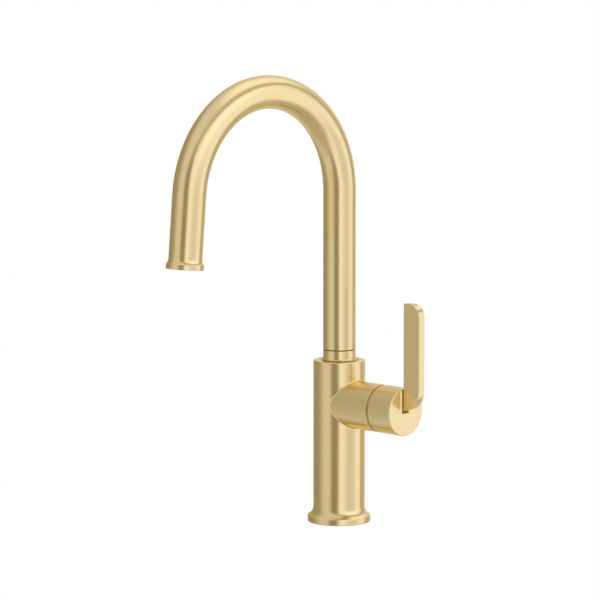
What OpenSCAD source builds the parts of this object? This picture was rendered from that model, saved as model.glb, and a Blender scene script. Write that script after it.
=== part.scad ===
// Gooseneck bar faucet with a side lever
// Frame: the centre of the foot's underside is the origin, +Z is up,
// +X points to the handle, and -Y is the way that the spout points.
// The spout turns about Z. The hub turns about the boss's axis, which runs along X.
// The lever tilts about a pin along Y in the cartridge's rotor.

/* [Body] */
// Diameter of the straight body
body_d = 43; // [41:0.5:46]
// Height of the body's top face
body_h = 135.5; // [128:0.5:160]
// Diameter of the foot
foot_d = 52.5; // [50:0.5:60]
// Height of the foot's straight band
foot_band_h = 5.6; // [3:0.2:8]
// Radius of the foot's concave flare
foot_cove_r = 8.5; // [7:0.5:12]
// Rounding of the body's and the foot's outer edges
edge_r = 0.8; // [0.4:0.1:1.2]
// Diameter of the hollow under the foot
recess_d = 38; // [36:0.5:40]
// Depth of the hollow under the foot
recess_depth = 14; // [10:0.5:18]

/* [Deck fixing] */
// Thread root radius of the stud hole (M8)
stud_r = 3.4; // [2.5:0.1:4.2]
// Depth of the stud hole
stud_depth = 16; // [10:1:20]
// Distance of the stud hole from the body's axis
stud_offset = 10; // [9:0.5:12]
// Thread root radius of the supply hose sockets (M10 x 1)
hose_r = 4.5; // [4:0.1:5]
// Depth of the hose sockets
hose_depth = 14; // [10:1:16]
// Distance of each hose socket from the body's middle plane
hose_side = 7.5; // [7:0.25:9]
// Distance of the hose sockets behind the body's axis
hose_back = 6; // [4:0.5:8]
// Radius of the waterways
waterway_r = 2.6; // [2:0.1:3]

/* [Foot gasket] */
// Inner radius of the gasket
gasket_in_r = 20.6; // [20.4:0.1:21]
// Outer radius of the gasket
gasket_out_r = 23.6; // [22.6:0.1:24]
// Thickness of the gasket
gasket_t = 2; // [1.5:0.1:2.5]

/* [Spout] */
// Outer diameter of the spout tube
tube_d = 27; // [25:0.5:29]
// Wall of the spout tube
tube_wall = 1.4; // [1:0.1:1.8]
// Overall height of the faucet
total_h = 375; // [330:1:420]
// Radius of the gooseneck's centre line
arch_r = 85; // [70:1:100]
// Angle of the gooseneck's bend
arch_angle = 175; // [165:1:178]
// Length of the straight leg after the bend, with the outlet tip
leg_l = 58.5; // [40:0.5:80]

/* [Swivel joint] */
// Height of the collar above the body's top
collar_h = 8.5; // [7:0.5:12]
// Radius of the concave foot of the collar
collar_cove_r = 1.8; // [1:0.2:2.4]
// Radius of the collar's thread in the body
collar_thread_r = 12.5; // [12:0.1:13]
// Length of the collar's thread in the body
collar_thread_l = 8; // [6:0.5:9]
// Height of the dark seam under the tube
seam_h = 0.9; // [0.6:0.1:1.4]
// Radius of the spigot
spigot_r = 9.5; // [9:0.1:10]
// Radius of the waterway up the spigot
spigot_bore_r = 6; // [5:0.2:6.6]
// Length of the spigot's socket in the tube
spigot_socket_l = 12; // [8:1:16]
// Length of the spigot below the body's top
spigot_drop = 21; // [20:0.5:24]
// Running clearance round the spigot, the rotor, the hub and the pin
fit_gap = 0.05; // [0.02:0.01:0.1]
// Clearance of pieces that are pushed into a bore or a groove
seat_gap = 0.1; // [0.05:0.01:0.12]
// Length of the bush at the spigot's foot
bush_l = 4; // [3:0.5:5]
// Wall of the bush
bush_wall = 1.6; // [1.2:0.1:2]
// Section radius of the O-rings
oring_r = 0.9; // [0.7:0.05:1]
// Thickness of the retaining ring
clip_t = 1.2; // [0.8:0.1:1.5]
// Opening of the retaining ring
clip_gap = 5; // [3:0.5:8]

/* [Outlet] */
// Diameter of the outlet's band
outlet_d = 30.5; // [29:0.5:34]
// Height of the outlet's straight band
outlet_band_h = 4.4; // [3:0.2:6]
// Radius of the outlet's concave flare
outlet_cove_r = 6.5; // [5:0.5:9]
// Length of the outlet tip
tip_l = 16; // [14:0.5:20]
// Radius of the aerator's thread bore
aerator_r = 11.2; // [10:0.1:11.6]
// Depth of the aerator's face behind the outlet's rim
aerator_inset = 0.8; // [0.4:0.1:2]
// Height of the aerator's housing
aerator_h = 9; // [8:0.5:10]
// Wall of the aerator's housing
aerator_wall = 1.5; // [1.2:0.1:2]
// Across flats of the straightener's hexagonal cells
cell_af = 1.9; // [1.7:0.1:2.6]
// Wall between the straightener's cells
cell_wall = 0.5; // [0.4:0.1:0.8]

/* [Side boss and hub] */
// Height of the boss's and hub's axis
hub_z = 100; // [90:1:105]
// Diameter of the boss and the hub
hub_d = 39.5; // [39:0.5:41]
// Distance of the boss's end from the body's axis
boss_end_x = 48.6; // [46:0.2:50]
// Width of the gap between boss and hub
hub_gap = 2.8; // [1:0.2:3]
// Distance of the hub's face from the body's axis
hub_face_x = 75.6; // [74.6:0.2:77]
// Rounding of the hub's front edge
hub_edge_r = 0.9; // [0.4:0.1:1.2]
// Rounding of the edges at the gap
gap_edge_r = 0.4; // [0.2:0.1:0.6]
// Radius of the bonnet nut, whose neck shows in the gap
nut_r = 16.8; // [16.4:0.1:17.2]
// Width of the mouth of the lever's slot in the hub
slot_w = 8.6; // [7.6:0.2:10]
// Depth of the slot's bottom below the hub's axis
slot_below_axis = 1.1; // [0.6:0.1:1.6]
// Width of the hub's rim over the slot's upper end
slot_rim = 1.3; // [1:0.1:2]
// Depth of the slot in the hub's face
slot_depth = 5.2; // [5:0.1:5.4]
// Depth of the slot's wide mouth; behind it the slot is just wide enough for the tail
mouth_depth = 0.8; // [0.4:0.1:1.2]
// Clearance of the tail on each side in the slot
tail_gap = 0.3; // [0.3:0.05:0.4]
// Width of the raised lip along each side of the slot
lip_w = 2; // [1.6:0.1:2.2]
// Height of the lips above the hub's face
lip_h = 0.75; // [0.4:0.05:0.9]
// Depth of the groove between boss and hub
groove_depth = 1.1; // [0.9:0.1:1.6]
// Radius of the hub's grub screw
hub_screw_r = 1.7; // [1.3:0.1:1.8]

/* [Cartridge] */
// Outer radius of the cartridge
cart_r = 14; // [13.6:0.1:14.2]
// Wall of the cartridge's housing
cart_wall = 1.4; // [1.2:0.1:1.6]
// Distance of the cartridge's seat from the body's axis
seat_x = 42; // [41.6:0.1:42.4]
// Gap under the cartridge that its seals fill
seal_proud = 0.4; // [0.2:0.1:0.6]
// Thickness of the cartridge's base
cart_base_t = 4; // [3.6:0.1:4.2]
// Thickness of each ceramic disc
disc_t = 3; // [2.6:0.1:3.1]
// Radius of the moving disc
moving_disc_r = 8.2; // [7.6:0.1:8.4]
// Thickness of the disc's carrier
carrier_t = 4.8; // [4.4:0.1:5]
// Radius of the ports
port_r = 2.2; // [1.8:0.1:2.4]
// Distance of the ports from the cartridge's axis
port_offset = 6; // [5.4:0.1:6.4]
// Thickness of the rotor's flange
rotor_flange_t = 2.6; // [2.2:0.1:2.8]
// Radius of the rotor's neck
rotor_r = 10.3; // [9.8:0.1:10.6]
// Width of the rotor's slot for the stem
rotor_slot_w = 6; // [5.4:0.1:6.4]

/* [Lever] */
// Thickness of the blade
blade_t = 6.7; // [5.4:0.1:7]
// Width of the blade
blade_w = 17.3; // [15:0.1:20]
// Height of the blade's top above the hub's axis
blade_top = 89.5; // [70:0.5:110]
// Height of the blade's foot above the hub's axis
blade_foot = 1.9; // [1.9:0.1:2.4]
// Radius of the blade's top outer corner
blade_top_r = 11; // [6:0.5:14]
// Gap between the blade and the hub's face
blade_gap = 0.3; // [0.3:0.1:0.6]
// Length of the blade's tail in the hub's slot
tail_l = 3.1; // [2.6:0.1:3.2]
// Rounding of the blade's long edges
blade_edge_r = 0.6; // [0.3:0.1:0.9]
// Distance of the pivot pin behind the hub's face
pivot_back = 9.6; // [9.4:0.1:9.8]
// Distance of the stem's ball behind the pivot pin
ball_back = 10; // [9.6:0.1:10.2]
// Radius of the stem's ball
ball_r = 2.5; // [2.2:0.1:2.6]
// Radius of the pivot pin
pin_r = 1.5; // [1.2:0.1:1.8]
// Thickness of the tongue that goes into the blade
tongue_t = 3.6; // [3:0.1:4]
// Length of the tongue in the blade, past the hub's face
tongue_l = 8; // [6:0.5:9]
// Radius of the lever's grub screw
lever_screw_r = 1.5; // [1.25:0.25:1.75]

/* [Hidden] */
$fn = 96;
eps = 0.02;          // overlap of cutting tools past a face
big = 200;

body_r = body_d / 2;
foot_r = foot_d / 2;
recess_r = recess_d / 2;
tube_r = tube_d / 2;
tube_in_r = tube_r - tube_wall;
hub_r = hub_d / 2;
outlet_r = outlet_d / 2;

// Swivel joint, by height
clip_play = 0.3;        // space between the clip and the bush
spigot_floor = 1;       // space under the spigot
clip_groove_d = 1.1;    // depth of the clip's groove in the spigot
clip_bore_gap = 0.7;    // space round the clip
oring_below = 1.8;      // distance of the upper O-ring below the bush
oring_pitch = 3.2;      // distance between the O-rings
oring_side_gap = 0.2;   // side clearance of the O-rings in their grooves
seam_inset = 0.9;       // depth of the seam under the tube
collar_edge_r = 0.3;    // rounding of the collar's top edge
collar_foot_t = 0.1;    // thickness of the concave foot's rim
collar_top = body_h + collar_h;
tube_foot = collar_top + seam_h;
collar_bottom = body_h - collar_thread_l;
clip_top = collar_bottom - seat_gap;
clip_bottom = clip_top - clip_t;
bush_top = clip_bottom - clip_play;
bush_foot = bush_top - bush_l;
bush_r = spigot_r + fit_gap + bush_wall;
spigot_foot = body_h - spigot_drop;
socket_foot = spigot_foot - spigot_floor;
clip_groove_r = spigot_r - clip_groove_d;
oring_z = [bush_foot - oring_below - oring_pitch, bush_foot - oring_below];
oring_path_r = spigot_r - oring_r;

// Gooseneck
arch_z = total_h - tube_r - arch_r;
lap = 0.02;             // the far leg's wall closes round the bend's end by this on each side
lap_l = 0.3;            // length of that overlap
outlet_y = -arch_r * (1 - cos(arch_angle)) - leg_l * sin(arch_angle);
outlet_z = arch_z + arch_r * sin(arch_angle) + leg_l * cos(arch_angle);
outlet_edge_r = 0.6;    // rounding of the outlet band's corners

// Aerator, by height above the outlet's rim
aerator_lip_h = 1.2;    // height of the housing's inner lip
aerator_lip_w = 0.6;    // width of the housing's inner lip
cells_h = 4;            // height of the straightener
screen_t = 0.5;         // thickness of the screen
seal_t = 1.6;           // thickness of the aerator's seal
seal_side_gap = 0.2;    // space round the aerator's seal
way_step = 1;           // step between the aerator's inside and the waterway
regulator_floor_t = 1.2;
regulator_wall = 1.2;
regulator_holes = 8;
regulator_hole_r = 0.8;
regulator_ring_r = 5;   // radius of the circle that the regulator's holes lie on
mesh_pitch = 2.2;       // distance between the screen's holes
mesh_hole_r = 0.7;
mesh_field_r = 7;       // radius of the screen's pierced field
cells_foot = aerator_inset + aerator_lip_h;
cells_top = cells_foot + cells_h;
screen_top = cells_top + screen_t;
aerator_top = aerator_inset + aerator_h;
seal_top = aerator_top + seal_t;
aerator_in_r = aerator_r - aerator_wall;
way_r = aerator_in_r - way_step;

// Cartridge and hub, by distance from the body's axis
carrier_play = 0.5;     // space between the disc's carrier and the rotor
cart_front_t = 2;       // thickness of the housing's front wall
nut_start = 1.6;        // distance of the nut's thread from the seat
nut_lip_t = 2;          // thickness of the nut's lip
nut_lip_gap = 0.9;      // space between the nut's lip and the rotor
hub_web_gap = 2.2;      // space between the nut and the hub's web
turn_gap = 0.35;        // space between the nut's flange and the turning hub
side_gap = 0.3;         // space between round pieces that don't touch
hub_back_x = boss_end_x + hub_gap;
base_x = seat_x + seal_proud;
fixed_x = base_x + cart_base_t;
moving_x = fixed_x + disc_t + fit_gap;
carrier_x = moving_x + disc_t;
flange_x = carrier_x + carrier_t + carrier_play;
neck_x = flange_x + rotor_flange_t;
cart_front_x = neck_x + seat_gap;
cart_end_x = cart_front_x + cart_front_t;
nut_back_x = seat_x + nut_start;
nut_end_x = cart_end_x + nut_lip_t;
hub_web_x = nut_end_x + hub_web_gap;
rotor_end_x = hub_face_x - slot_depth;
pivot_x = hub_face_x - pivot_back;
ball_x = pivot_x - ball_back;
cart_in_r = cart_r - cart_wall;
slot_bottom_z = hub_z - slot_below_axis;
lip_crest_w = 0.2;      // width of the lips' flat crest
lip_foot = 0.6;         // length of the lips below the slot's bottom
PORT_ANGLES = [60, 180, 300];
seal_pocket = 1;        // depth of the port seals' pockets
seal_wall = 1.1;        // wall of the port seals
socket_floor_t = 0.8;   // floor under the ball's socket
socket_gap = 0.1;       // clearance round the ball
rotor_flange_r = cart_in_r - side_gap;
seal_groove_w = 2;      // width of the rotor seal's groove
seal_groove_d = 1.5;    // depth of the rotor seal's groove
rotor_seal_r = 0.8;     // section radius of the rotor's seal
rotor_slot_low = 5.5;   // depth of the rotor's slot below the hub's axis
rotor_end_gap = 0.2;    // space in front of the rotor's end in the hub
pin_inset = 0.9;        // distance of the pin's ends inside the rotor's neck
pin_l = 2 * (rotor_r - pin_inset);
stem_eye_r = 4.2;       // radius of the stem's eye round the pin
stem_shank_r = 1.7;     // radius of the shank that carries the ball
stem_play = 0.2;        // clearance of the stem in the rotor's slot
hub_screw_x = (hub_web_x + rotor_end_x) / 2;
screw_sunk = 0.9;       // depth of the hub's grub screw below the surface
lever_screw_l = 3.6;    // length of the lever's grub screw
lever_screw_back = 3.2; // distance of the lever's grub screw from the tongue's end
socket_share = 0.58;    // share of a grub screw's radius that its hexagon socket takes

// Blade
blade_in_x = hub_face_x + blade_gap;
blade_out_x = blade_in_x + blade_w;
tail_in_x = hub_face_x - tail_l;
tail_low = 3.2;         // the tail's lower edge above the hub's axis
tail_rim_gap = 0.8;     // space over the tail, inside the hub's rim
tail_high = hub_r - slot_rim - tail_rim_gap;
tongue_low = 7;         // the tongue's lower edge above the hub's axis
tongue_high = 15;       // the tongue's upper edge above the hub's axis
tongue_end_x = blade_in_x + tongue_l;
tongue_screw_x = tongue_end_x - lever_screw_back;

// Side outline of the stem's arm, from the pivot: front edge, end in the tail, back edge
arm_end = pivot_back - tail_l;
arm_front = [[2.8, -3.1], [4.6, 1.1], [arm_end, 4.2]];
arm_top_w = 0.9;        // width of the arm's top behind the tail
arm_back = [[5.1, 9.3], [3.2, 8.6], [-3, 2.9]];

GOLD = [0.83, 0.73, 0.49];
BRASS = [0.72, 0.58, 0.33];
STEEL = [0.75, 0.76, 0.78];
RUBBER = [0.12, 0.12, 0.13];
CERAMIC = [0.93, 0.92, 0.89];
WHITE = [0.90, 0.90, 0.88];
GREY = [0.55, 0.57, 0.60];

// ---- Shared shapes ----

// A plain ring between two heights
module ring(out_r, in_r, z0, z1) {
    difference() {
        translate([0, 0, z0]) cylinder(r = out_r, h = z1 - z0);
        translate([0, 0, z0 - eps]) cylinder(r = in_r, h = z1 - z0 + 2 * eps);
    }
}

// Half section of a post with a rounded top edge, and a rounded lower edge when low_r > 0
module post_section(r, h, top_r, low_r = 0) {
    translate([0, low_r]) square([r, h - top_r - low_r]);
    square([r - max(top_r, low_r), h]);
    translate([r - top_r, h - top_r]) circle(r = top_r, $fn = 48);
    if (low_r > 0) translate([r - low_r, low_r]) circle(r = low_r, $fn = 48);
}

// Half section of a concave flare: a straight band of radius out_r at the bottom,
// then a concave arc up to the radius in_r, with the band's corners rounded by e
module flare_section(in_r, out_r, band_h, cove_r, e) {
    cove_x = in_r + cove_r;
    corner_x = out_r - e;
    climb = sqrt(pow(cove_r + e, 2) - pow(cove_x - corner_x, 2));
    corner_z = band_h - e;
    cove_z = corner_z + climb;
    meet_x = cove_x + (corner_x - cove_x) * cove_r / (cove_r + e);
    post_section(out_r, band_h, e, e);
    difference() {
        square([meet_x, cove_z]);
        translate([cove_x, cove_z]) circle(r = cove_r, $fn = 128);
    }
}

// Turns a shape that was built up along Z so that it runs along the hub's axis from x
module on_hub_axis(x = 0) {
    translate([x, 0, hub_z]) rotate([0, 90, 0]) children();
}

// Puts a shape that was built up from the outlet's rim onto the end of the spout's leg
module at_outlet() {
    translate([0, outlet_y, outlet_z]) rotate([arch_angle - 180, 0, 0]) children();
}

// Cutters for the cartridge's three ports, up along Z from z0 to z1
module ports(z0, z1, r = port_r) {
    for (a = PORT_ANGLES)
        rotate([0, 0, a]) translate([port_offset, 0, z0]) cylinder(r = r, h = z1 - z0, $fn = 48);
}

// Draws an outline of the XZ plane as a plate of the given thickness, centred on Y = 0
module plate(thickness) {
    translate([0, thickness / 2, 0]) rotate([90, 0, 0]) linear_extrude(height = thickness) children();
}

// ---- Fixed body ----

// Turned outside of the body, with the flared foot and the rounded rim
module body_outside() {
    rotate_extrude() {
        post_section(body_r, body_h, edge_r);
        flare_section(body_r, foot_r, foot_band_h, foot_cove_r, edge_r);
    }
}

module boss_outside() {
    on_hub_axis() rotate_extrude() post_section(hub_r, boss_end_x, gap_edge_r);
}

// Hollow, groove and threaded holes under the foot
module foot_cuts() {
    translate([0, 0, -eps]) cylinder(r = recess_r, h = recess_depth + eps);
    ring(gasket_out_r + seat_gap, gasket_in_r - seat_gap, -eps, gasket_t);
    translate([stud_offset, 0, recess_depth - eps]) cylinder(r = stud_r, h = stud_depth + eps);
    for (side = [-1, 1])
        translate([-hose_back, side * hose_side, recess_depth - eps])
            cylinder(r = hose_r, h = hose_depth + eps);
}

// Bored channels: two inlets to the seat, and one from the seat up to the spigot
module waterways() {
    inlet_z = hub_z - port_offset * cos(PORT_ANGLES[0]);
    for (side = [-1, 1]) {
        translate([-hose_back, side * hose_side, recess_depth])
            cylinder(r = waterway_r, h = inlet_z - recess_depth);
        translate([-hose_back, side * port_offset * sin(PORT_ANGLES[0]), inlet_z]) rotate([0, 90, 0])
            cylinder(r = waterway_r, h = seat_x + hose_back + eps);
    }
    outlet_way_z = hub_z + port_offset;
    translate([0, 0, outlet_way_z]) rotate([0, 90, 0]) cylinder(r = waterway_r, h = seat_x + eps);
    translate([0, 0, outlet_way_z]) cylinder(r = waterway_r, h = socket_foot - outlet_way_z + eps);
}

// Bores of the swivel joint in the body's top
module swivel_cuts() {
    translate([0, 0, socket_foot]) cylinder(r = spigot_r + fit_gap, h = body_h);
    translate([0, 0, bush_foot]) cylinder(r = bush_r, h = body_h);
    translate([0, 0, bush_top]) cylinder(r = collar_thread_r, h = body_h);
}

// Bores of the cartridge and its nut in the boss
module cartridge_cuts() {
    on_hub_axis(seat_x) cylinder(r = cart_r + seat_gap, h = big);
    on_hub_axis(nut_back_x - seat_gap) cylinder(r = nut_r + fit_gap, h = big);
}

module faucet_body() {
    color(GOLD) difference() {
        union() {
            body_outside();
            boss_outside();
        }
        foot_cuts();
        waterways();
        swivel_cuts();
        cartridge_cuts();
    }
}

module base_gasket() {
    color(RUBBER) ring(gasket_out_r, gasket_in_r, 0, gasket_t);
}

// Collar with a concave foot on the body's top and a thread in it
module spout_collar() {
    color(GOLD) difference() {
        rotate_extrude() {
            translate([0, collar_bottom]) square([collar_thread_r, collar_thread_l]);
            translate([0, body_h]) post_section(tube_r, collar_h, collar_edge_r);
            translate([0, body_h]) difference() {
                square([tube_r + collar_cove_r, collar_cove_r + collar_foot_t]);
                translate([tube_r + collar_cove_r, collar_cove_r + collar_foot_t])
                    circle(r = collar_cove_r);
            }
        }
        translate([0, 0, collar_bottom - eps]) cylinder(r = spigot_r + fit_gap, h = big);
    }
}

module swivel_bush() {
    color(WHITE) ring(bush_r, spigot_r + fit_gap, bush_foot, bush_top - seat_gap);
}

// ---- Cartridge ----

module cartridge_seals() {
    color(RUBBER) on_hub_axis(seat_x) for (a = PORT_ANGLES)
        rotate([0, 0, a]) translate([port_offset, 0, 0])
            ring(port_r + seal_wall, port_r, 0, seal_proud + seal_pocket);
}

module cartridge_base() {
    color(GREY) on_hub_axis(base_x) difference() {
        cylinder(r = cart_r, h = cart_base_t);
        ports(-eps, cart_base_t + eps);
        ports(-eps, seal_pocket, port_r + seal_wall);
    }
}

module fixed_disc() {
    color(CERAMIC) on_hub_axis(fixed_x) difference() {
        cylinder(r = cart_in_r - side_gap, h = disc_t);
        ports(-eps, disc_t + eps);
    }
}

module cartridge_housing() {
    color(WHITE) on_hub_axis() difference() {
        translate([0, 0, fixed_x]) cylinder(r = cart_r, h = cart_end_x - fixed_x);
        translate([0, 0, fixed_x - eps]) cylinder(r = cart_in_r, h = cart_front_x - fixed_x + eps);
        translate([0, 0, fixed_x]) cylinder(r = rotor_r + fit_gap, h = big);
    }
}

// Bonnet nut: its thread is in the boss, its lip holds the cartridge, its neck carries the hub,
// and its flange on the boss's end is the floor of the groove between boss and hub
module cartridge_nut() {
    flange_t = hub_gap - turn_gap;
    color(BRASS) on_hub_axis() difference() {
        union() {
            translate([0, 0, nut_back_x]) cylinder(r = nut_r, h = nut_end_x - nut_back_x);
            translate([0, 0, boss_end_x]) cylinder(r = hub_r - groove_depth, h = flange_t);
        }
        translate([0, 0, nut_back_x - eps]) cylinder(r = cart_r, h = cart_end_x - nut_back_x + eps);
        translate([0, 0, nut_back_x]) cylinder(r = rotor_r + nut_lip_gap, h = big);
    }
}

// Ceramic disc that slides over the ports; its recess joins them
module moving_disc() {
    color(CERAMIC) on_hub_axis(moving_x) difference() {
        cylinder(r = moving_disc_r, h = disc_t);
        translate([0, 0, -eps]) cylinder(r = port_offset - port_r, h = disc_t / 2);
    }
}

module disc_carrier() {
    color(GREY) on_hub_axis(carrier_x) difference() {
        cylinder(r = moving_disc_r, h = carrier_t);
        translate([0, 0, socket_floor_t]) cylinder(r = ball_r + socket_gap, h = big);
    }
}

// Rotor: a flange in the housing and a slotted neck that holds the pin
module stem_carrier() {
    color(WHITE) difference() {
        on_hub_axis() {
            translate([0, 0, flange_x]) cylinder(r = rotor_flange_r, h = rotor_flange_t);
            translate([0, 0, flange_x]) cylinder(r = rotor_r, h = rotor_end_x - flange_x);
        }
        on_hub_axis(flange_x + rotor_flange_t / 2 - seal_groove_w / 2)
            ring(big, rotor_flange_r - seal_groove_d, 0, seal_groove_w);
        translate([flange_x - eps, -rotor_slot_w / 2, hub_z - rotor_slot_low])
            cube([big, rotor_slot_w, big]);
        translate([pivot_x, 0, hub_z]) rotate([90, 0, 0]) cylinder(r = pin_r, h = big, center = true);
    }
}

module rotor_seal() {
    color(RUBBER) on_hub_axis(flange_x + rotor_flange_t / 2)
        rotate_extrude() translate([cart_in_r - fit_gap - rotor_seal_r, 0])
            circle(r = rotor_seal_r, $fn = 32);
}

module stem_pin() {
    color(STEEL) translate([pivot_x, 0, hub_z]) rotate([90, 0, 0])
        cylinder(r = pin_r, h = pin_l, center = true);
}

// ---- Hub ----

// Slot for the lever, with a wide shallow mouth in the hub's face, closed by the rim at its top
module lever_slot() {
    tail_slot_w = blade_t + 2 * tail_gap;
    intersection() {
        union() {
            translate([hub_face_x - mouth_depth, -slot_w / 2, slot_bottom_z])
                cube([big, slot_w, big]);
            translate([rotor_end_x, -tail_slot_w / 2, slot_bottom_z])
                cube([big, tail_slot_w, big]);
        }
        on_hub_axis(hub_web_x) cylinder(r = hub_r - slot_rim, h = big);
    }
}

// Raised lips along the slot's sides, with a bevelled outside, inside the hub's edge rounding
module slot_lips() {
    crest_y = slot_w / 2 + (lip_w - lip_crest_w) / 2;
    intersection() {
        translate([0, 0, slot_bottom_z - lip_foot]) linear_extrude(height = big) for (side = [-1, 1])
            polygon([[hub_face_x - eps, side * slot_w / 2], [hub_face_x, side * slot_w / 2],
                     [hub_face_x + lip_h, side * crest_y],
                     [hub_face_x + lip_h, side * (crest_y + lip_crest_w)],
                     [hub_face_x, side * (slot_w / 2 + lip_w)],
                     [hub_face_x - eps, side * (slot_w / 2 + lip_w)]]);
        on_hub_axis(hub_web_x) cylinder(r = hub_r - hub_edge_r, h = big);
    }
}

// Round hub: it runs on the nut's neck, grips the rotor's end, and is slotted for the lever
module handle_hub() {
    color(GOLD) difference() {
        union() {
            on_hub_axis(hub_back_x) rotate_extrude()
                post_section(hub_r, hub_face_x - hub_back_x, hub_edge_r, gap_edge_r);
            slot_lips();
        }
        on_hub_axis(hub_back_x - eps) cylinder(r = nut_r + fit_gap, h = hub_web_x - hub_back_x);
        on_hub_axis(hub_web_x - 2 * eps)
            cylinder(r = rotor_r, h = rotor_end_x + rotor_end_gap - hub_web_x);
        lever_slot();
        translate([hub_screw_x, 0, hub_z - hub_r - eps]) cylinder(r = hub_screw_r, h = hub_r);
    }
}

// Grub screw with a hexagon socket, built up from its point along Z
module grub_screw(r, l) {
    difference() {
        cylinder(r = r, h = l);
        translate([0, 0, l - r]) cylinder(r = r * socket_share, h = big, $fn = 6);
    }
}

module hub_screw() {
    color(STEEL) translate([hub_screw_x, 0, hub_z - rotor_r]) rotate([180, 0, 0])
        grub_screw(hub_screw_r, hub_r - rotor_r - screw_sunk);
}

// ---- Lever ----

// Outline of the blade in the XZ plane: a quarter-round foot and a rounded top corner
module blade_outline() {
    low_z = hub_z + blade_foot;
    high_z = hub_z + blade_top;
    intersection() {
        translate([blade_in_x, low_z + blade_w]) circle(r = blade_w, $fn = 192);
        translate([blade_in_x, low_z]) square([blade_w, blade_w]);
    }
    translate([blade_in_x, low_z + blade_w])
        square([blade_w, high_z - low_z - blade_w - blade_top_r]);
    translate([blade_in_x, high_z - blade_top_r - eps])
        square([blade_w - blade_top_r, blade_top_r + eps]);
    translate([blade_out_x - blade_top_r, high_z - blade_top_r]) circle(r = blade_top_r, $fn = 128);
}

// Cross-section of the blade in the XY plane, with its four long edges rounded
module blade_section() {
    e = blade_edge_r;
    translate([blade_in_x + e, -blade_t / 2]) square([blade_w - 2 * e, blade_t]);
    translate([blade_in_x, -blade_t / 2 + e]) square([blade_w, blade_t - 2 * e]);
    for (x = [blade_in_x + e, blade_out_x - e], y = [-blade_t / 2 + e, blade_t / 2 - e])
        translate([x, y]) circle(r = e, $fn = 32);
}

// Pocket in the tail and the blade for the stem's tongue; the tongue fills it
module tongue() {
    translate([tail_in_x - eps, -tongue_t / 2, hub_z + tongue_low])
        cube([tongue_end_x - tail_in_x + eps, tongue_t, tongue_high - tongue_low]);
}

// Blade with rounded long edges, and the tail behind it that goes into the hub's slot
module lever_blade() {
    color(GOLD) difference() {
        union() {
            intersection() {
                plate(blade_t) blade_outline();
                linear_extrude(height = big * 2) blade_section();
            }
            plate(blade_t) translate([tail_in_x, hub_z + tail_low])
                square([blade_in_x + blade_edge_r - tail_in_x, tail_high - tail_low]);
        }
        tongue();
        translate([tongue_screw_x, 0, hub_z]) cylinder(r = lever_screw_r, h = tongue_low + eps);
    }
}

// Side outline of the stem's eye and of the arm that rises to the tongue
module stem_outline() {
    translate([pivot_x, hub_z]) {
        circle(r = stem_eye_r);
        polygon(concat(arm_front, [[arm_end, tongue_high], [arm_end - arm_top_w, tongue_high]],
                       arm_back));
    }
}

module cartridge_stem() {
    color(STEEL) difference() {
        union() {
            intersection() {
                plate(rotor_slot_w - stem_play) stem_outline();
                translate([0, -big / 2, 0]) cube([rotor_end_x, big, big]);
            }
            plate(tongue_t) stem_outline();
            tongue();
            on_hub_axis(ball_x) cylinder(r = stem_shank_r, h = ball_back);
            translate([ball_x, 0, hub_z]) sphere(r = ball_r, $fn = 64);
        }
        translate([pivot_x, 0, hub_z]) rotate([90, 0, 0])
            cylinder(r = pin_r + fit_gap, h = big, center = true);
    }
}

module lever_screw() {
    color(STEEL) translate([tongue_screw_x, 0, hub_z + tongue_low]) rotate([180, 0, 0])
        grub_screw(lever_screw_r, lever_screw_l);
}

// ---- Spout ----

// Gooseneck: a straight leg, the bend, and the leg that ends at the outlet tip
module spout_tube() {
    color(GOLD) {
        ring(tube_r, tube_in_r, tube_foot, arch_z);
        difference() {
            bend(tube_r);
            bend(tube_in_r);
        }
        at_outlet() ring(tube_r + lap, tube_in_r - lap, tip_l, leg_l + lap_l);
    }
}

module bend(r) {
    translate([0, -arch_r, arch_z]) rotate([90, 0, 90])
        rotate_extrude(angle = arch_angle) translate([arch_r, 0]) circle(r = r);
}

// Turned outlet end with the flare outside and the aerator's bore inside
module outlet_tip() {
    color(GOLD) at_outlet() difference() {
        rotate_extrude() {
            post_section(tube_r, tip_l, eps);
            flare_section(tube_r, outlet_r, outlet_band_h, outlet_cove_r, outlet_edge_r);
        }
        translate([0, 0, -eps]) cylinder(r = aerator_r, h = seal_top + eps);
        cylinder(r = way_r, h = big);
    }
}

// Spigot: grooved for the clip and the O-rings, and fitted in the tube's foot
module spout_spigot() {
    color(BRASS) difference() {
        union() {
            translate([0, 0, spigot_foot]) cylinder(r = spigot_r, h = tube_foot - spigot_foot);
            translate([0, 0, tube_foot]) cylinder(r = tube_in_r, h = spigot_socket_l);
        }
        translate([0, 0, spigot_foot - eps]) cylinder(r = spigot_bore_r, h = big);
        ring(big, clip_groove_r, clip_bottom, clip_top);
        for (z = oring_z)
            ring(big, oring_path_r - oring_r, z - oring_r - oring_side_gap,
                 z + oring_r + oring_side_gap);
    }
}

module glide_washer() {
    color(RUBBER) ring(tube_r - seam_inset, spigot_r, collar_top + fit_gap, tube_foot);
}

module spigot_orings() {
    color(RUBBER) for (z = oring_z)
        translate([0, 0, z]) rotate_extrude() translate([oring_path_r, 0])
            circle(r = oring_r, $fn = 32);
}

module spout_clip() {
    color(STEEL) difference() {
        ring(collar_thread_r - clip_bore_gap, clip_groove_r, clip_bottom, clip_top);
        translate([0, -clip_gap / 2, clip_bottom - eps]) cube([big, clip_gap, clip_t + 2 * eps]);
    }
}

// ---- Aerator, built up from the outlet's rim ----

module aerator_seal() {
    color(RUBBER) at_outlet() ring(aerator_r - seal_side_gap, way_r, aerator_top, seal_top);
}

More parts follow.
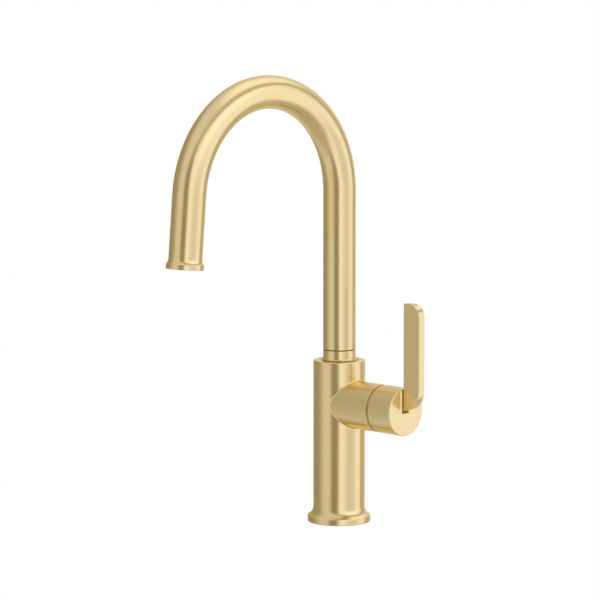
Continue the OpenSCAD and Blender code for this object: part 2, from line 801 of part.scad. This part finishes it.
module flow_regulator() {
    color(WHITE) at_outlet() difference() {
        translate([0, 0, screen_top]) cylinder(r = aerator_in_r, h = aerator_top - screen_top);
        translate([0, 0, screen_top + regulator_floor_t])
            cylinder(r = aerator_in_r - regulator_wall, h = big);
        for (i = [1 : regulator_holes])
            rotate([0, 0, i * 360 / regulator_holes]) translate([regulator_ring_r, 0, 0])
                cylinder(r = regulator_hole_r, h = big, $fn = 24);
    }
}

// Flat-topped disc with a hexagonal field of holes: rows at 60 degrees, kept inside field_r
module pierced_disc(r, z0, z1, pitch, field_r, hole_r, sides) {
    rows = floor(field_r / (pitch * sin(60)));
    difference() {
        translate([0, 0, z0]) cylinder(r = r, h = z1 - z0);
        for (i = [-rows : rows], j = [-rows - 2 : rows + 2]) {
            x = (j + (i % 2 == 0 ? 0 : 0.5)) * pitch;
            y = i * pitch * sin(60);
            if (norm([x, y]) < field_r)
                translate([x, y, z0 - eps])
                    rotate([0, 0, 30]) cylinder(r = hole_r, h = z1 - z0 + 2 * eps, $fn = sides);
        }
    }
}

module aerator_screen() {
    color(STEEL) at_outlet()
        pierced_disc(aerator_in_r, cells_top, screen_top, mesh_pitch, mesh_field_r, mesh_hole_r, 24);
}

module flow_straightener() {
    color(WHITE) at_outlet()
        pierced_disc(aerator_in_r, cells_foot, cells_top, cell_af + cell_wall,
                     aerator_in_r - cell_af, cell_af / sqrt(3), 6);
}

module aerator_housing() {
    color(GREY) at_outlet() {
        ring(aerator_r, aerator_in_r, cells_foot, aerator_top);
        ring(aerator_r, aerator_in_r - aerator_lip_w, aerator_inset, cells_foot);
    }
}

faucet_body();
base_gasket();
spout_collar();
swivel_bush();
cartridge_seals();
cartridge_base();
fixed_disc();
cartridge_housing();
cartridge_nut();
spout_tube();
outlet_tip();
spout_spigot();
glide_washer();
spigot_orings();
spout_clip();
aerator_seal();
flow_regulator();
aerator_screen();
flow_straightener();
aerator_housing();
handle_hub();
stem_carrier();
rotor_seal();
stem_pin();
hub_screw();
lever_blade();
cartridge_stem();
lever_screw();
moving_disc();
disc_carrier();
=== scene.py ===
import math

import bpy
import numpy as np
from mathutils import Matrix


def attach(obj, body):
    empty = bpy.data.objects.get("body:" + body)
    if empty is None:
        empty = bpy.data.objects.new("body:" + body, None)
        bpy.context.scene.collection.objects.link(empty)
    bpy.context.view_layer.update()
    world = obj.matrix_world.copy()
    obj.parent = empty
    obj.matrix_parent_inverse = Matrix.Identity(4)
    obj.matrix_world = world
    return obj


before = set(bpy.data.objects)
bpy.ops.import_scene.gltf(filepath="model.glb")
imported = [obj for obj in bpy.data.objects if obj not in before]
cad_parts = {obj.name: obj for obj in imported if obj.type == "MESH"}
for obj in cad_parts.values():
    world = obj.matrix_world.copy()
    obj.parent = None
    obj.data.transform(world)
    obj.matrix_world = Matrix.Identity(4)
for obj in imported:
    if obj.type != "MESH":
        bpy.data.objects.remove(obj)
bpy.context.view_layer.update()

# ---------------------------------------------------------------------------------------------
# Camera
# A long lens stands at the faucet's front right corner, a little above the gooseneck's top, and
# looks slightly down. Its sideways place puts the body right of the picture's middle.

LENS_HEADING = 44.975      # degrees that the lens is turned left from looking straight back
LENS_DROP = 6.898          # degrees that it looks down

photo_lens = bpy.data.cameras.new("photo_lens")
photo_lens.sensor_width = 36.0
photo_lens.lens = 203.3
photo_lens.shift_y = -0.05
photo_lens.clip_start = 0.1
photo_lens.clip_end = 50.0
camera = bpy.data.objects.new("camera", photo_lens)
camera.location = (1.9414, -1.9892, 0.5464)
camera.rotation_euler = (math.radians(90.0 - LENS_DROP), 0.0, math.radians(LENS_HEADING))
bpy.context.scene.collection.objects.link(camera)
bpy.context.scene.camera = camera
bpy.context.scene.view_settings.view_transform = "Standard"

# ---------------------------------------------------------------------------------------------
# Studio
# A white room. In the metal's mirror image it has a tall window in front of the handle, a grey wall
# round it, a bright panel high at the back, a grey curtain opposite the handle and a grey floor, which
# give the brushed gold its dark and bright streaks. All other light is plain white.

# Heading, height, inner and outer angle of each patch in degrees, and the light that it adds
CURTAIN = (-168, 5, 7, 57, -0.37)          # the side away from the handle
HIGH_PANEL = (80, 60, 15, 42, 0.38)        # high at the back
LOW_PANEL = (120, 6, 4, 26, 0.22)          # level, at the back and away from the handle
WALL_SHADE = (-64, 0, 13, 55, -0.22)       # the wall on the spout's side of the window
WINDOW_HAZE = (4, -11, 6, 35, -0.30)       # the window's dim middle
WINDOW_SKY = (12, 32, 5, 38, 0.18)         # the window's bright upper part
FLOOR_LIGHT = 0.52
FLOOR_EDGE = (0.58, 0.92)      # sines of the angles under the horizon where it starts and is full
WARM_GREY = (1.0, 0.89, 0.60, 1)
WHITE = (1.0, 1.0, 1.0, 1)

studio = bpy.data.worlds.new("studio")
bpy.context.scene.world = studio
studio.use_nodes = True
walls = studio.node_tree
walls.nodes.clear()


def node(tree, kind, **settings):
    """Adds a shader node. Inputs are given by name or number, other settings by their own name."""
    made = tree.nodes.new(kind)
    for name, value in settings.items():
        if name == "inputs":
            for key, given in value.items():
                if isinstance(given, bpy.types.NodeSocket):
                    tree.links.new(given, made.inputs[key])
                else:
                    made.inputs[key].default_value = given
        else:
            setattr(made, name, value)
    return made


def sums(tree, operation, *terms):
    """One Math node of the given operation; returns its output."""
    return node(tree, "ShaderNodeMath", operation=operation, inputs=dict(enumerate(terms))).outputs[0]


def between(tree, value, start, end):
    """1 where a value has passed the end, 0 before the start, and a smooth step between them."""
    return node(tree, "ShaderNodeMapRange", interpolation_type="SMOOTHSTEP",
                inputs={"Value": value, "From Min": start, "From Max": end}).outputs[0]


def mixed_colour(tree, share, first, second):
    """The first colour at a share of 0, the second at 1."""
    return node(tree, "ShaderNodeMix", data_type="RGBA",
                inputs={0: share, 6: first, 7: second}).outputs[2]


direction = node(walls, "ShaderNodeTexCoord").outputs["Generated"]


def along(way):
    """How far the direction of sight points along a unit vector."""
    return node(walls, "ShaderNodeVectorMath", operation="DOT_PRODUCT",
                inputs={0: direction, 1: way}).outputs["Value"]


def patch(heading, height, inner, outer, change):
    """Round patch of light, or of shade where the change is negative, at a heading from the handle's
    side towards the back and a height over the horizon. It is full inside the inner angle and gone
    at the outer one. All are degrees."""
    heading, height, inner, outer = np.radians([heading, height, inner, outer])
    way = (math.cos(height) * math.cos(heading), math.cos(height) * math.sin(heading),
           math.sin(height))
    return sums(walls, "MULTIPLY", between(walls, along(way), math.cos(outer), math.cos(inner)),
                change)


def pane(left, right, top, bottom, soft):
    """1 inside a four-sided pane in front of the handle and 0 outside it. Left and right are
    headings, top and bottom are heights straight ahead, in degrees. Each side is a plane through
    the object, and the edge is soft up to that sine on both sides of it."""
    left, right, top, bottom = np.radians([left, right, top, bottom])
    inside = 1.0
    for plane in ((-math.sin(left), math.cos(left), 0), (math.sin(right), -math.cos(right), 0),
                  (math.sin(top), 0, -math.cos(top)), (-math.sin(bottom), 0, math.cos(bottom))):
        inside = sums(walls, "MULTIPLY", inside, between(walls, along(plane), -soft, soft))
    return inside


def lit(level, *patches):
    """An even level of light with patches added to it."""
    for spot in patches:
        level = sums(walls, "ADD", level, patch(*spot))
    return level


def over(share, below, above):
    """The light of one layer laid over another, by the share that it covers."""
    return node(walls, "ShaderNodeMix", inputs={0: share, 2: below, 3: above}).outputs[0]


grey_wall = pane(left=-89, right=97, top=69, bottom=-81, soft=0.055)
window = pane(left=-49, right=61, top=47, bottom=-64, soft=0.09)
grey_floor = between(walls, along((0, 0, -1)), *FLOOR_EDGE)
light = over(grey_wall, lit(0.74, CURTAIN, HIGH_PANEL, LOW_PANEL), lit(0.52, WALL_SHADE))
light = over(window, light, lit(1.06, WINDOW_HAZE, WINDOW_SKY))
light = over(grey_floor, light, FLOOR_LIGHT)

# The greys are warm: the less light is left, the warmer it is
paleness = node(walls, "ShaderNodeMapRange", inputs={"Value": light, "From Min": 0.3,
                                                     "From Max": 0.85}).outputs[0]
mirrored = node(walls, "ShaderNodeVectorMath", operation="SCALE",
                inputs={0: mixed_colour(walls, paleness, WARM_GREY, WHITE), "Scale": light})
# Polished faces mirror the drawn room, and everything else sees plain white
ray = node(walls, "ShaderNodeLightPath").outputs
drawn = node(walls, "ShaderNodeBackground", inputs={"Color": mirrored.outputs[0], "Strength": 1.0})
plain = node(walls, "ShaderNodeBackground", inputs={"Color": WHITE, "Strength": 1.0})
room = node(walls, "ShaderNodeMixShader",
            inputs={0: ray["Is Glossy Ray"], 1: plain.outputs[0], 2: drawn.outputs[0]})
node(walls, "ShaderNodeOutputWorld", inputs={"Surface": room.outputs[0]})

# ---------------------------------------------------------------------------------------------
# Floor
# A round white board under the foot. It shows white from above and takes the foot's faint shadow.
# The polished faces look past it to the walls.

BOARD_RADIUS = 0.12
BOARD_HEIGHT = -0.0002
BOARD_GLOW = 0.9           # light of the board's own, so that it shows white
SHADOW_GREY = (0.2, 0.2, 0.2, 1)         # what it shows on top of that where nothing shades it
BOARD_MATT = (0.85, 0.85, 0.85, 1)       # what it throws back on the object


def round_board(radius, height, count=96):
    """Flat round face: points at equal angles on a circle of the radius, at one height."""
    angle = np.linspace(0, 2 * np.pi, count, endpoint=False)
    return np.stack([radius * np.cos(angle), radius * np.sin(angle), np.full(count, height)], 1)


board_edge = round_board(BOARD_RADIUS, BOARD_HEIGHT)
board_mesh = bpy.data.meshes.new("board")
board_mesh.from_pydata(board_edge.tolist(), [], [list(range(len(board_edge)))])
board = bpy.data.objects.new("board", board_mesh)
bpy.context.scene.collection.objects.link(board)

board_white = bpy.data.materials.new("board_white")
board_white.use_nodes = True
tree = board_white.node_tree
tree.nodes.clear()
ray = node(tree, "ShaderNodeLightPath").outputs
matt = node(tree, "ShaderNodeBsdfDiffuse", inputs={"Color": BOARD_MATT})
glow = node(tree, "ShaderNodeEmission", inputs={"Color": WHITE, "Strength": BOARD_GLOW})
shaded = node(tree, "ShaderNodeBsdfDiffuse", inputs={"Color": SHADOW_GREY})
looked_at = node(tree, "ShaderNodeAddShader", inputs={0: glow.outputs[0], 1: shaded.outputs[0]})
solid = node(tree, "ShaderNodeMixShader",
             inputs={0: ray["Is Camera Ray"], 1: matt.outputs[0], 2: looked_at.outputs[0]})
open_way = node(tree, "ShaderNodeBsdfTransparent")
pick = node(tree, "ShaderNodeMixShader",
            inputs={0: ray["Is Glossy Ray"], 1: solid.outputs[0], 2: open_way.outputs[0]})
node(tree, "ShaderNodeOutputMaterial", inputs={"Surface": pick.outputs[0]})
board_mesh.materials.append(board_white)

# ---------------------------------------------------------------------------------------------
# Body
# One brass casting with its flared foot and side boss, turned and bored, then brushed with a fine
# belt and plated satin gold. The belt leaves hairlines that run round the body and round the boss.

HUB_HEIGHT = 0.100         # height of the boss's and the hub's axis
BODY_RADIUS = 0.0215
BOSS_RADIUS = 0.01975
BODY_TOP = 0.1355
FLARE_CLEAR = 0.060        # height over the foot's flare and under the boss
SHADE_OUTER = 0.0180        # radius on the body's top where the ring of painted shade starts
SHADE_INNER = 0.0162        # radius from which inwards it is full
GOLD = (0.87, 0.705, 0.40, 1)
GLANCE = (0.90, 0.82, 0.62, 1)       # tint of the gold where it is seen nearly edge on
# Brown of the painted shade at the collar's foot, on the body's top and on the collar's rim
SHADE_BROWN = (0.52, 0.36, 0.13, 1)
SATIN = (0.19, 0.27)       # lowest and highest roughness of the brushed gold
HAIRLINES = 5200.0         # hairlines in a metre, counted across them
HAIR_BREAKS = 120.0        # changes in a metre along a hairline
HAIR_SHARE = 0.65          # share of the hairlines in the changes of the roughness
BOSS_TURN = (0, math.radians(-90), 0)      # sets the boss's axis upright
BOSS_SHIFT = (HUB_HEIGHT, 0, 0)            # and brings it to the Z axis


def dress(name, material):
    """Gives a carried-over CAD node this material in every slot that it has."""
    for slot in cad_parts[name].material_slots:
        slot.material = material


def surface(name):
    """New material with one Principled surface; returns the material, its tree and the surface."""
    made = bpy.data.materials.new(name)
    made.use_nodes = True
    return made, made.node_tree, made.node_tree.nodes["Principled BSDF"]


def satin_gold(name):
    """New gold surface, warm both straight on and at a glance."""
    made, tree, skin = surface(name)
    skin.inputs["Base Color"].default_value = GOLD
    skin.inputs["Specular Tint"].default_value = GLANCE
    return made, tree, skin


def places(tree):
    """Where each point of a piece lies, in metres."""
    return node(tree, "ShaderNodeTexCoord").outputs["Object"]


def parts_of(tree, vector):
    """The three coordinates of a vector."""
    return node(tree, "ShaderNodeSeparateXYZ", inputs={0: vector}).outputs


def off_axis(tree, x, y):
    """Distance from the Z axis: the root of the sum of the squares of x and y."""
    return sums(tree, "SQRT", sums(tree, "ADD", sums(tree, "MULTIPLY", x, x),
                                   sums(tree, "MULTIPLY", y, y)))


def lathe_lines(tree, turn=(0, 0, 0), shift=(0, 0, 0)):
    """Pattern coordinates of a turned piece: the axis is brought to Z by the turn and the shift.
    Then they are the place across the axis, the distance from it and the place along it. The last
    two are fine, so a noise on them draws rings; the first is coarse, so a ring breaks up slowly."""
    placed = node(tree, "ShaderNodeMapping",
                  inputs={"Vector": places(tree), "Rotation": turn, "Location": shift})
    x, y, z = parts_of(tree, placed.outputs[0])
    return node(tree, "ShaderNodeCombineXYZ",
                inputs={0: sums(tree, "MULTIPLY", x, HAIR_BREAKS),
                        1: sums(tree, "MULTIPLY", off_axis(tree, x, y), HAIRLINES),
                        2: sums(tree, "MULTIPLY", z, HAIRLINES)}).outputs[0]


def brushed(tree, skin, lines, low, high, depth=0.04):
    """Hairlines of a brushed metal: a noise on the line pattern moves the roughness between low
    and high and lifts the surface by a few microns; a wide soft noise varies the roughness. Both
    noises lie mostly between 0.35 and 0.65."""
    hair = node(tree, "ShaderNodeTexNoise", inputs={"Vector": lines, "Scale": 1.0, "Detail": 3.0,
                                                    "Roughness": 0.6}).outputs[0]
    cloud = node(tree, "ShaderNodeTexNoise", inputs={"Vector": places(tree), "Scale": 55.0,
                                                     "Detail": 2.0}).outputs[0]
    changes = sums(tree, "MULTIPLY_ADD", cloud, 1 - HAIR_SHARE, sums(tree, "MULTIPLY", hair, HAIR_SHARE))
    rough = node(tree, "ShaderNodeMapRange", inputs={"Value": changes, "From Min": 0.35,
                                                     "From Max": 0.65, "To Min": low,
                                                     "To Max": high})
    bump = node(tree, "ShaderNodeBump", inputs={"Height": hair, "Strength": depth,
                                                "Distance": 0.0001})
    tree.links.new(rough.outputs[0], skin.inputs["Roughness"])
    tree.links.new(bump.outputs[0], skin.inputs["Normal"])
    skin.inputs["Metallic"].default_value = 1.0


body_gold, tree, skin = satin_gold("satin_gold_body")
x, y, z = parts_of(tree, places(tree))
away = off_axis(tree, x, y)
on_boss = sums(tree, "MULTIPLY", between(tree, away, BODY_RADIUS, BODY_RADIUS + 0.0002),
               between(tree, z, FLARE_CLEAR, FLARE_CLEAR + 0.001))
lines = node(tree, "ShaderNodeMix", data_type="VECTOR",
             inputs={0: on_boss, 4: lathe_lines(tree), 5: lathe_lines(tree, BOSS_TURN, BOSS_SHIFT)})
brushed(tree, skin, lines.outputs[1], *SATIN)
# Painted shade: a ring of the body's top at the collar's foot is darkened to brown, where shade falls
corner = sums(tree, "MULTIPLY", between(tree, z, BODY_TOP - 0.0006, BODY_TOP - 0.0002),
              between(tree, away, SHADE_OUTER, SHADE_INNER))
tree.links.new(mixed_colour(tree, corner, GOLD, SHADE_BROWN), skin.inputs["Base Color"])
dress("faucet_body", body_gold)

# ---------------------------------------------------------------------------------------------
# Boss corner
# Where the boss leaves the body, the casting is smoothed to a small hollow corner. It runs all the
# way round the boss, equally wide everywhere, and is plated with the body.

CORNER_WIDTH = 0.0017


def ring_mesh(name, points, material):
    """Mesh of a grid of points: rows by columns, joined to quads, with the last row joined to the
    first one. Seen from its front, each row runs to the right and the next one lies above it."""
    rows, columns = points.shape[:2]
    index = np.arange(rows * columns).reshape(rows, columns)
    index = np.vstack([index, index[:1]])
    quads = np.stack([index[:-1, :-1], index[:-1, 1:], index[1:, 1:], index[1:, :-1]], -1)
    mesh = bpy.data.meshes.new(name)
    mesh.from_pydata(points.reshape(-1, 3).tolist(), [], quads.reshape(-1, 4).tolist())
    mesh.polygons.foreach_set("use_smooth", np.ones(len(mesh.polygons), bool))
    mesh.materials.append(material)
    made = bpy.data.objects.new(name, mesh)
    bpy.context.scene.collection.objects.link(made)
    return made


def rolled_corner(big, small, height, width, count=192, steps=9):
    """Hollow corner between an upright round of radius big and a level one of radius small: a ball
    rolls in the corner, touching both. Its centre is at small + ball from the level axis and at
    big + ball from the upright one. The corner is the arc between the two touching points. The
    ball's radius is the corner's width by the angle between the two rounds, so the width stays."""
    turn = np.linspace(0, 2 * np.pi, count, endpoint=False)[:, None, None]
    ball = width / np.arccos(small / big * np.cos(turn) ** 2)
    y = (small + ball) * np.cos(turn)
    z = height + (small + ball) * np.sin(turn)
    x = np.sqrt((big + ball) ** 2 - y ** 2)
    centre = np.concatenate([x, y, z], 2)
    on_boss = np.concatenate([x, small * np.cos(turn), height + small * np.sin(turn)], 2) - centre
    share = big / (big + ball)
    on_body = np.concatenate([x * share, y * share, z], 2) - centre
    angle = np.arccos((on_boss * on_body).sum(2, keepdims=True) / ball ** 2)
    step = np.linspace(0, 1, steps)[None, :, None]
    arc = (np.sin((1 - step) * angle) * on_boss + np.sin(step * angle) * on_body) / np.sin(angle)
    return centre + arc


corner_gold, tree, skin = satin_gold("satin_gold_corner")
brushed(tree, skin, lathe_lines(tree, BOSS_TURN, BOSS_SHIFT), *SATIN)
corner_points = rolled_corner(BODY_RADIUS, BOSS_RADIUS, HUB_HEIGHT, CORNER_WIDTH)
boss_corner = ring_mesh("boss_corner", corner_points, corner_gold)
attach(boss_corner, "base")

# ---------------------------------------------------------------------------------------------
# Gasket and seals
# Black rubber, moulded in plain rings: the gasket under the foot, the O-rings of the spigot and of
# the rotor, the three port seals under the cartridge, and the flat ring over the aerator.


def mottled(name, low, high, size, rough, grain, depth):
    """Moulded or pressed material: a noise of the given size moves the colour between low and high
    and the roughness a little, and a fine noise of the grain's size lifts the surface."""
    spread = 0.06
    made, tree, skin = surface(name)
    where = places(tree)
    cloud = node(tree, "ShaderNodeTexNoise", inputs={"Vector": where, "Scale": 1 / size,
                                                     "Detail": 3.0}).outputs[0]
    shine = node(tree, "ShaderNodeMapRange", inputs={"Value": cloud, "To Min": rough - spread,
                                                     "To Max": rough + spread})
    fine = node(tree, "ShaderNodeTexNoise", inputs={"Vector": where, "Scale": 1 / grain,
                                                    "Detail": 2.0})
    bump = node(tree, "ShaderNodeBump", inputs={"Height": fine.outputs[0], "Strength": depth,
                                                "Distance": 0.0002})
    tree.links.new(mixed_colour(tree, cloud, (*low, 1), (*high, 1)), skin.inputs["Base Color"])
    tree.links.new(shine.outputs[0], skin.inputs["Roughness"])
    tree.links.new(bump.outputs[0], skin.inputs["Normal"])
    return made


black_rubber = mottled("black_rubber", low=(0.018, 0.018, 0.019), high=(0.035, 0.034, 0.033),
                       size=0.004, rough=0.62, grain=0.0004, depth=0.12)
for name in ("base_gasket", "spigot_orings", "rotor_seal", "cartridge_seals", "aerator_seal"):
    dress(name, black_rubber)

# ---------------------------------------------------------------------------------------------
# Cartridge
# White acetal shell and rotor, a grey glass-filled foot and disc carrier, and two lapped ceramic
# discs that slide on each other. The bonnet nut that holds it all in the boss is turned brass.


def turned(name, colour, low, high, depth, turn=(0, 0, 0), shift=(0, 0, 0)):
    """Bare metal from the lathe. Its fine rings run round the body's axis, or round the one that
    the turn and the shift bring there."""
    made, tree, skin = surface(name)
    skin.inputs["Base Color"].default_value = (*colour, 1)
    brushed(tree, skin, lathe_lines(tree, turn, shift), low, high, depth)
    return made


white_acetal = mottled("white_acetal", low=(0.80, 0.80, 0.77), high=(0.86, 0.86, 0.83),
                       size=0.006, rough=0.40, grain=0.0006, depth=0.05)
grey_nylon = mottled("grey_nylon", low=(0.25, 0.26, 0.28), high=(0.33, 0.34, 0.36),
                     size=0.002, rough=0.52, grain=0.0003, depth=0.12)
lapped_ceramic = mottled("lapped_ceramic", low=(0.84, 0.83, 0.78), high=(0.90, 0.89, 0.85),
                         size=0.001, rough=0.16, grain=0.0002, depth=0.02)
for name in ("cartridge_housing", "stem_carrier"):
    dress(name, white_acetal)
for name in ("cartridge_base", "disc_carrier"):
    dress(name, grey_nylon)
for name in ("fixed_disc", "moving_disc"):
    dress(name, lapped_ceramic)
dress("cartridge_nut", turned("turned_brass_nut", (0.50, 0.39, 0.20), low=0.26, high=0.40,
                              depth=0.08, turn=BOSS_TURN, shift=BOSS_SHIFT))

# ---------------------------------------------------------------------------------------------
# Collar
# A turned and plated brass ring that screws into the body's top and holds the spout down. Its foot
# spreads to a thin rim on the body, whose colour is darkened to brown there as painted shade.

collar_gold, tree, skin = satin_gold("satin_gold_upright")
brushed(tree, skin, lathe_lines(tree), *SATIN)
z = parts_of(tree, places(tree))[2]
# Painted shade: the collar's lowest millimetre is darkened to brown
rim = between(tree, z, BODY_TOP + 0.0012, BODY_TOP + 0.0002)
tree.links.new(mixed_colour(tree, rim, GOLD, SHADE_BROWN), skin.inputs["Base Color"])
dress("spout_collar", collar_gold)

# ---------------------------------------------------------------------------------------------
# Swivel
# The spout's turned brass spigot stands in the body, in a white acetal bush. A sprung steel ring
# keeps it down, and a dark bronze-coloured washer carries the tube on the collar.

spring_steel = turned("spring_steel", (0.55, 0.55, 0.56), low=0.24, high=0.36, depth=0.05)
dark_bronze = turned("bronze_washer", (0.20, 0.13, 0.035), low=0.40, high=0.55, depth=0.08)
skin = dark_bronze.node_tree.nodes["Principled BSDF"]
skin.inputs["Specular Tint"].default_value = (0.5, 0.4, 0.2, 1)
dress("spout_spigot", turned("turned_brass_spigot", (0.74, 0.56, 0.27), low=0.26, high=0.40,
                             depth=0.08))
dress("swivel_bush", white_acetal)
dress("spout_clip", spring_steel)
dress("glide_washer", dark_bronze)

# ---------------------------------------------------------------------------------------------
# Gooseneck
# A seamless brass tube, drawn, bent round a former and belt-brushed across its length, so that the
# hairlines go round the tube and follow the bend.

ARCH_RADIUS = 0.085
ARCH_HEIGHT = 0.2765

tube_gold, tree, skin = satin_gold("satin_gold_tube")
x, y, z = parts_of(tree, places(tree))
across = sums(tree, "ADD", y, ARCH_RADIUS)
up = sums(tree, "SUBTRACT", z, ARCH_HEIGHT)
# Way along the tube: the height below the bend, or the bend's angle times its radius
bent = sums(tree, "MULTIPLY", sums(tree, "ARCTAN2", sums(tree, "MAXIMUM", up, 0.0), across),
            ARCH_RADIUS)
straight = sums(tree, "MULTIPLY", sums(tree, "MINIMUM", up, 0.0), sums(tree, "SIGN", across))
lines = node(tree, "ShaderNodeCombineXYZ",
             inputs={0: sums(tree, "MULTIPLY", x, HAIR_BREAKS),
                     1: sums(tree, "MULTIPLY", across, HAIR_BREAKS / 2),
                     2: sums(tree, "MULTIPLY", sums(tree, "ADD", bent, straight), HAIRLINES)})
brushed(tree, skin, lines.outputs[0], *SATIN)
dress("spout_tube", tube_gold)

# ---------------------------------------------------------------------------------------------
# Outlet
# The tube's end: a turned and plated tip with a flare like the foot's. The aerator screws into it:
# a grey housing, a white honeycomb, a steel mesh and a white flow regulator.

OUTLET_TURN = (math.radians(5), 0, 0)      # sets the leaning leg upright
OUTLET_SHIFT = (0, 0.1938, -0.2095)        # brings its axis to Z, and its rim near the origin

tip_gold, tree, skin = satin_gold("satin_gold_tip")
brushed(tree, skin, lathe_lines(tree, OUTLET_TURN, OUTLET_SHIFT), *SATIN)
dress("outlet_tip", tip_gold)
dress("aerator_housing", grey_nylon)
dress("flow_straightener", white_acetal)
dress("flow_regulator", white_acetal)
dress("aerator_screen", spring_steel)

# ---------------------------------------------------------------------------------------------
# Hub
# Turned from brass bar, slotted for the lever, brushed in rings and plated. Its grub screw and the
# rotor's pin are hardened steel.

hub_gold, tree, skin = satin_gold("satin_gold_hub")
brushed(tree, skin, lathe_lines(tree, BOSS_TURN, BOSS_SHIFT), *SATIN)
dress("handle_hub", hub_gold)

turned_steel = turned("turned_steel", (0.50, 0.50, 0.51), low=0.28, high=0.42, depth=0.06)
for name in ("hub_screw", "stem_pin"):
    dress(name, turned_steel)

# ---------------------------------------------------------------------------------------------
# Lever
# A flat blade, milled from brass bar, brushed along its length and plated. The tongue of the nickel
# plated stem is held in its foot by a grub screw of the hub screw's steel.

BLADE_LINES = (HAIRLINES, HAIRLINES, HAIR_BREAKS)      # upright hairlines
STEM_LINES = (3000, 150, 3000)                         # coarser ones across the stem

blade_gold, tree, skin = satin_gold("satin_gold_blade")
lines = node(tree, "ShaderNodeMapping", inputs={"Vector": places(tree), "Scale": BLADE_LINES})
brushed(tree, skin, lines.outputs[0], *SATIN)
dress("lever_blade", blade_gold)

plated_stem, tree, skin = surface("plated_stem")
skin.inputs["Base Color"].default_value = (0.92, 0.86, 0.72, 1)
lines = node(tree, "ShaderNodeMapping", inputs={"Vector": places(tree), "Scale": STEM_LINES})
brushed(tree, skin, lines.outputs[0], low=0.30, high=0.45, depth=0.08)
dress("cartridge_stem", plated_stem)
dress("lever_screw", turned_steel)
